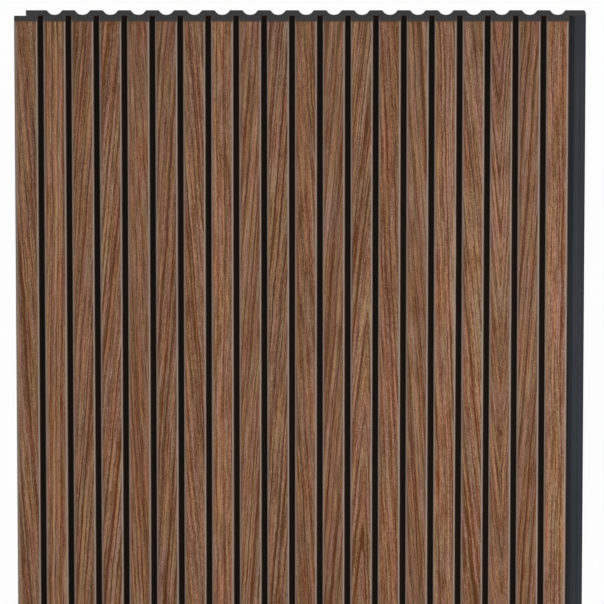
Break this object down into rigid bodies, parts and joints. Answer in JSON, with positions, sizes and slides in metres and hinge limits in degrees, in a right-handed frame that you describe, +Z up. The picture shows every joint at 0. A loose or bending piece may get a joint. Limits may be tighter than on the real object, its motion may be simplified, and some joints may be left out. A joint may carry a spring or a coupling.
{
  "type": "slat wall panel",
  "caption": "Flat wall panel with raised wood-look slats and dark grooves between them, relief flutes along its back, and a tongue and recess that lap with the next panel.",
  "frame": {"origin": "on the wall plane, at the middle of the slat pattern and at the panel's lower end", "axes": "+X across the slats to the panel's right as seen from the front, +Y at the wall, +Z up along the slats; the slats face -Y"},
  "size_m": [0.6137, 0.021, 0.78],
  "materials": {
    "core": "matt dark grey",
    "decor_film": "walnut, satin"
  },
  "bodies": {
    "root": {"core_profile": "core", "slat_film_01": "decor_film", "slat_film_02": "decor_film", "slat_film_03": "decor_film", "slat_film_04": "decor_film", "slat_film_05": "decor_film", "slat_film_06": "decor_film", "slat_film_07": "decor_film", "slat_film_08": "decor_film", "slat_film_09": "decor_film", "slat_film_10": "decor_film", "slat_film_11": "decor_film", "slat_film_12": "decor_film", "slat_film_13": "decor_film", "slat_film_14": "decor_film", "slat_film_15": "decor_film", "slat_film_16": "decor_film", "slat_film_17": "decor_film", "slat_film_18": "decor_film", "slat_film_19": "decor_film", "slat_film_20": "decor_film"}
  },
  "joints": []
}
